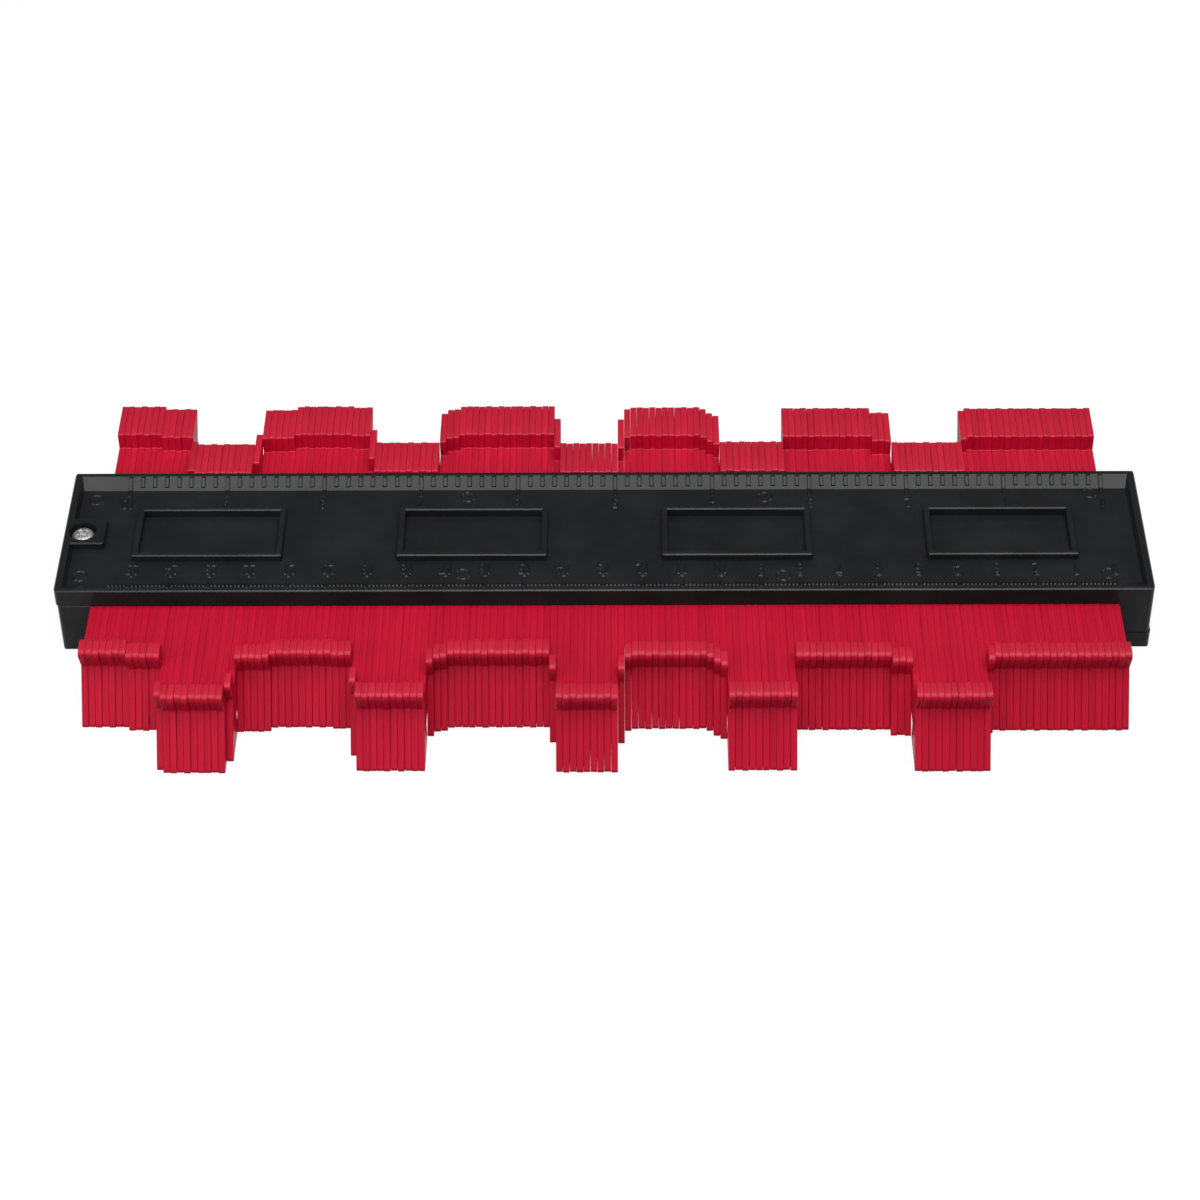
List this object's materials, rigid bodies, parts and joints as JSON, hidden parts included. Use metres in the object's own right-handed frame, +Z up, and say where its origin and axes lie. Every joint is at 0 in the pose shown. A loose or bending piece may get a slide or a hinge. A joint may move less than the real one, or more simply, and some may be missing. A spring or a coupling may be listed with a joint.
{
  "type": "contour gauge",
  "caption": "Contour gauge: a long flat body of moulded halves screwed together around a stack of thin leaves that slide across it to copy a profile.",
  "frame": {"origin": "under the middle of the body, on the plane of the lower rim that the gauge lies on", "axes": "+X along the stack of leaves, to the right in the picture; +Y towards the rear, along the leaves' slide; +Z up"},
  "size_m": [0.278, 0.1215, 0.02],
  "materials": {
    "body_plastic": "moulded, fine grain, semi-matt black",
    "leaf_plastic": "moulded, satin red",
    "screw_steel": "zinc plated"
  },
  "bodies": {
    "frame": {"upper_frame": "body_plastic", "lower_frame": "body_plastic", "left_screw": "screw_steel", "right_screw": "screw_steel"},
    "leaf_bank_01": {"leaf_bank_01": "leaf_plastic"},
    "leaf_bank_02": {"leaf_bank_02": "leaf_plastic"},
    "leaf_bank_03": {"leaf_bank_03": "leaf_plastic"},
    "leaf_bank_04": {"leaf_bank_04": "leaf_plastic"},
    "leaf_bank_05": {"leaf_bank_05": "leaf_plastic"},
    "leaf_bank_06": {"leaf_bank_06": "leaf_plastic"},
    "leaf_bank_07": {"leaf_bank_07": "leaf_plastic"},
    "leaf_bank_08": {"leaf_bank_08": "leaf_plastic"},
    "leaf_bank_09": {"leaf_bank_09": "leaf_plastic"},
    "leaf_bank_10": {"leaf_bank_10": "leaf_plastic"},
    "leaf_bank_11": {"leaf_bank_11": "leaf_plastic"},
    "leaf_bank_12": {"leaf_bank_12": "leaf_plastic"},
    "leaf_bank_13": {"leaf_bank_13": "leaf_plastic"},
    "leaf_bank_14": {"leaf_bank_14": "leaf_plastic"},
    "leaf_bank_15": {"leaf_bank_15": "leaf_plastic"},
    "leaf_bank_16": {"leaf_bank_16": "leaf_plastic"},
    "leaf_bank_17": {"leaf_bank_17": "leaf_plastic"},
    "leaf_bank_18": {"leaf_bank_18": "leaf_plastic"},
    "leaf_bank_19": {"leaf_bank_19": "leaf_plastic"},
    "leaf_bank_20": {"leaf_bank_20": "leaf_plastic"},
    "leaf_bank_21": {"leaf_bank_21": "leaf_plastic"},
    "leaf_bank_22": {"leaf_bank_22": "leaf_plastic"},
    "leaf_bank_23": {"leaf_bank_23": "leaf_plastic"},
    "leaf_bank_24": {"leaf_bank_24": "leaf_plastic"},
    "leaf_bank_25": {"leaf_bank_25": "leaf_plastic"},
    "leaf_bank_26": {"leaf_bank_26": "leaf_plastic"},
    "leaf_bank_27": {"leaf_bank_27": "leaf_plastic"},
    "leaf_bank_28": {"leaf_bank_28": "leaf_plastic"},
    "leaf_bank_29": {"leaf_bank_29": "leaf_plastic"},
    "leaf_bank_30": {"leaf_bank_30": "leaf_plastic"},
    "leaf_bank_31": {"leaf_bank_31": "leaf_plastic"},
    "leaf_bank_32": {"leaf_bank_32": "leaf_plastic"},
    "leaf_bank_33": {"leaf_bank_33": "leaf_plastic"},
    "leaf_bank_34": {"leaf_bank_34": "leaf_plastic"},
    "leaf_bank_35": {"leaf_bank_35": "leaf_plastic"},
    "leaf_bank_36": {"leaf_bank_36": "leaf_plastic"},
    "leaf_bank_37": {"leaf_bank_37": "leaf_plastic"},
    "leaf_bank_38": {"leaf_bank_38": "leaf_plastic"},
    "leaf_bank_39": {"leaf_bank_39": "leaf_plastic"},
    "leaf_bank_40": {"leaf_bank_40": "leaf_plastic"},
    "leaf_bank_41": {"leaf_bank_41": "leaf_plastic"},
    "leaf_bank_42": {"leaf_bank_42": "leaf_plastic"},
    "leaf_bank_43": {"leaf_bank_43": "leaf_plastic"},
    "leaf_bank_44": {"leaf_bank_44": "leaf_plastic"},
    "leaf_bank_45": {"leaf_bank_45": "leaf_plastic"},
    "leaf_bank_46": {"leaf_bank_46": "leaf_plastic"},
    "leaf_bank_47": {"leaf_bank_47": "leaf_plastic"},
    "leaf_bank_48": {"leaf_bank_48": "leaf_plastic"},
    "leaf_bank_49": {"leaf_bank_49": "leaf_plastic"},
    "leaf_bank_50": {"leaf_bank_50": "leaf_plastic"},
    "leaf_bank_51": {"leaf_bank_51": "leaf_plastic"},
    "leaf_bank_52": {"leaf_bank_52": "leaf_plastic"},
    "leaf_bank_53": {"leaf_bank_53": "leaf_plastic"},
    "leaf_bank_54": {"leaf_bank_54": "leaf_plastic"}
  },
  "joints": [
    {"name": "leaf_bank_01_slide", "type": "slide", "parent": "frame", "child": "leaf_bank_01", "axis": [0, 1, 0], "range_m": [-0.01648, 0.01682]},
    {"name": "leaf_bank_02_slide", "type": "slide", "parent": "frame", "child": "leaf_bank_02", "axis": [0, 1, 0], "range_m": [-0.01648, 0.01682]},
    {"name": "leaf_bank_03_slide", "type": "slide", "parent": "frame", "child": "leaf_bank_03", "axis": [0, 1, 0], "range_m": [-0.0153, 0.018]},
    {"name": "leaf_bank_04_slide", "type": "slide", "parent": "frame", "child": "leaf_bank_04", "axis": [0, 1, 0], "range_m": [-0.0153, 0.018]},
    {"name": "leaf_bank_05_slide", "type": "slide", "parent": "frame", "child": "leaf_bank_05", "axis": [0, 1, 0], "range_m": [-0.00127, 0.03203]},
    {"name": "leaf_bank_06_slide", "type": "slide", "parent": "frame", "child": "leaf_bank_06", "axis": [0, 1, 0], "range_m": [-0.00026, 0.03304]},
    {"name": "leaf_bank_07_slide", "type": "slide", "parent": "frame", "child": "leaf_bank_07", "axis": [0, 1, 0], "range_m": [-0.00026, 0.03304]},
    {"name": "leaf_bank_08_slide", "type": "slide", "parent": "frame", "child": "leaf_bank_08", "axis": [0, 1, 0], "range_m": [-0.00026, 0.03304]},
    {"name": "leaf_bank_09_slide", "type": "slide", "parent": "frame", "child": "leaf_bank_09", "axis": [0, 1, 0], "range_m": [-0.00414, 0.02916]},
    {"name": "leaf_bank_10_slide", "type": "slide", "parent": "frame", "child": "leaf_bank_10", "axis": [0, 1, 0], "range_m": [-0.01479, 0.01851]},
    {"name": "leaf_bank_11_slide", "type": "slide", "parent": "frame", "child": "leaf_bank_11", "axis": [0, 1, 0], "range_m": [-0.01479, 0.01851]},
    {"name": "leaf_bank_12_slide", "type": "slide", "parent": "frame", "child": "leaf_bank_12", "axis": [0, 1, 0], "range_m": [-0.01631, 0.01699]},
    {"name": "leaf_bank_13_slide", "type": "slide", "parent": "frame", "child": "leaf_bank_13", "axis": [0, 1, 0], "range_m": [-0.01631, 0.01699]},
    {"name": "leaf_bank_14_slide", "type": "slide", "parent": "frame", "child": "leaf_bank_14", "axis": [0, 1, 0], "range_m": [-0.01631, 0.01699]},
    {"name": "leaf_bank_15_slide", "type": "slide", "parent": "frame", "child": "leaf_bank_15", "axis": [0, 1, 0], "range_m": [-0.01581, 0.0175]},
    {"name": "leaf_bank_16_slide", "type": "slide", "parent": "frame", "child": "leaf_bank_16", "axis": [0, 1, 0], "range_m": [-0.00634, 0.02696]},
    {"name": "leaf_bank_17_slide", "type": "slide", "parent": "frame", "child": "leaf_bank_17", "axis": [0, 1, 0], "range_m": [-0.00076, 0.03254]},
    {"name": "leaf_bank_18_slide", "type": "slide", "parent": "frame", "child": "leaf_bank_18", "axis": [0, 1, 0], "range_m": [-0.00076, 0.03254]},
    {"name": "leaf_bank_19_slide", "type": "slide", "parent": "frame", "child": "leaf_bank_19", "axis": [0, 1, 0], "range_m": [-0.00076, 0.03254]},
    {"name": "leaf_bank_20_slide", "type": "slide", "parent": "frame", "child": "leaf_bank_20", "axis": [0, 1, 0], "range_m": [-0.01293, 0.02037]},
    {"name": "leaf_bank_21_slide", "type": "slide", "parent": "frame", "child": "leaf_bank_21", "axis": [0, 1, 0], "range_m": [-0.01479, 0.01851]},
    {"name": "leaf_bank_22_slide", "type": "slide", "parent": "frame", "child": "leaf_bank_22", "axis": [0, 1, 0], "range_m": [-0.01614, 0.01716]},
    {"name": "leaf_bank_23_slide", "type": "slide", "parent": "frame", "child": "leaf_bank_23", "axis": [0, 1, 0], "range_m": [-0.01614, 0.01716]},
    {"name": "leaf_bank_24_slide", "type": "slide", "parent": "frame", "child": "leaf_bank_24", "axis": [0, 1, 0], "range_m": [-0.01614, 0.01716]},
    {"name": "leaf_bank_25_slide", "type": "slide", "parent": "frame", "child": "leaf_bank_25", "axis": [0, 1, 0], "range_m": [-0.01614, 0.01716]},
    {"name": "leaf_bank_26_slide", "type": "slide", "parent": "frame", "child": "leaf_bank_26", "axis": [0, 1, 0], "range_m": [-0.01074, 0.02257]},
    {"name": "leaf_bank_27_slide", "type": "slide", "parent": "frame", "child": "leaf_bank_27", "axis": [0, 1, 0], "range_m": [-0.00026, 0.03304]},
    {"name": "leaf_bank_28_slide", "type": "slide", "parent": "frame", "child": "leaf_bank_28", "axis": [0, 1, 0], "range_m": [-0.00026, 0.03304]},
    {"name": "leaf_bank_29_slide", "type": "slide", "parent": "frame", "child": "leaf_bank_29", "axis": [0, 1, 0], "range_m": [-0.00026, 0.03304]},
    {"name": "leaf_bank_30_slide", "type": "slide", "parent": "frame", "child": "leaf_bank_30", "axis": [0, 1, 0], "range_m": [-0.01023, 0.02307]},
    {"name": "leaf_bank_31_slide", "type": "slide", "parent": "frame", "child": "leaf_bank_31", "axis": [0, 1, 0], "range_m": [-0.01479, 0.01851]},
    {"name": "leaf_bank_32_slide", "type": "slide", "parent": "frame", "child": "leaf_bank_32", "axis": [0, 1, 0], "range_m": [-0.01547, 0.01783]},
    {"name": "leaf_bank_33_slide", "type": "slide", "parent": "frame", "child": "leaf_bank_33", "axis": [0, 1, 0], "range_m": [-0.01547, 0.01783]},
    {"name": "leaf_bank_34_slide", "type": "slide", "parent": "frame", "child": "leaf_bank_34", "axis": [0, 1, 0], "range_m": [-0.01547, 0.01783]},
    {"name": "leaf_bank_35_slide", "type": "slide", "parent": "frame", "child": "leaf_bank_35", "axis": [0, 1, 0], "range_m": [-0.01479, 0.01851]},
    {"name": "leaf_bank_36_slide", "type": "slide", "parent": "frame", "child": "leaf_bank_36", "axis": [0, 1, 0], "range_m": [-0.01293, 0.02037]},
    {"name": "leaf_bank_37_slide", "type": "slide", "parent": "frame", "child": "leaf_bank_37", "axis": [0, 1, 0], "range_m": [-0.01175, 0.02155]},
    {"name": "leaf_bank_38_slide", "type": "slide", "parent": "frame", "child": "leaf_bank_38", "axis": [0, 1, 0], "range_m": [-0.00076, 0.03254]},
    {"name": "leaf_bank_39_slide", "type": "slide", "parent": "frame", "child": "leaf_bank_39", "axis": [0, 1, 0], "range_m": [-0.00076, 0.03254]},
    {"name": "leaf_bank_40_slide", "type": "slide", "parent": "frame", "child": "leaf_bank_40", "axis": [0, 1, 0], "range_m": [-0.00076, 0.03254]},
    {"name": "leaf_bank_41_slide", "type": "slide", "parent": "frame", "child": "leaf_bank_41", "axis": [0, 1, 0], "range_m": [-0.01496, 0.01834]},
    {"name": "leaf_bank_42_slide", "type": "slide", "parent": "frame", "child": "leaf_bank_42", "axis": [0, 1, 0], "range_m": [-0.01496, 0.01834]},
    {"name": "leaf_bank_43_slide", "type": "slide", "parent": "frame", "child": "leaf_bank_43", "axis": [0, 1, 0], "range_m": [-0.01496, 0.01834]},
    {"name": "leaf_bank_44_slide", "type": "slide", "parent": "frame", "child": "leaf_bank_44", "axis": [0, 1, 0], "range_m": [-0.01496, 0.01834]},
    {"name": "leaf_bank_45_slide", "type": "slide", "parent": "frame", "child": "leaf_bank_45", "axis": [0, 1, 0], "range_m": [-0.01293, 0.02037]},
    {"name": "leaf_bank_46_slide", "type": "slide", "parent": "frame", "child": "leaf_bank_46", "axis": [0, 1, 0], "range_m": [-0.00026, 0.03304]},
    {"name": "leaf_bank_47_slide", "type": "slide", "parent": "frame", "child": "leaf_bank_47", "axis": [0, 1, 0], "range_m": [-0.00026, 0.03304]},
    {"name": "leaf_bank_48_slide", "type": "slide", "parent": "frame", "child": "leaf_bank_48", "axis": [0, 1, 0], "range_m": [-0.00026, 0.03304]},
    {"name": "leaf_bank_49_slide", "type": "slide", "parent": "frame", "child": "leaf_bank_49", "axis": [0, 1, 0], "range_m": [-0.01378, 0.01952]},
    {"name": "leaf_bank_50_slide", "type": "slide", "parent": "frame", "child": "leaf_bank_50", "axis": [0, 1, 0], "range_m": [-0.01462, 0.01868]},
    {"name": "leaf_bank_51_slide", "type": "slide", "parent": "frame", "child": "leaf_bank_51", "axis": [0, 1, 0], "range_m": [-0.01462, 0.01868]},
    {"name": "leaf_bank_52_slide", "type": "slide", "parent": "frame", "child": "leaf_bank_52", "axis": [0, 1, 0], "range_m": [-0.01462, 0.01868]},
    {"name": "leaf_bank_53_slide", "type": "slide", "parent": "frame", "child": "leaf_bank_53", "axis": [0, 1, 0], "range_m": [-0.01462, 0.01868]},
    {"name": "leaf_bank_54_slide", "type": "slide", "parent": "frame", "child": "leaf_bank_54", "axis": [0, 1, 0], "range_m": [-0.01462, 0.01868]}
  ]
}
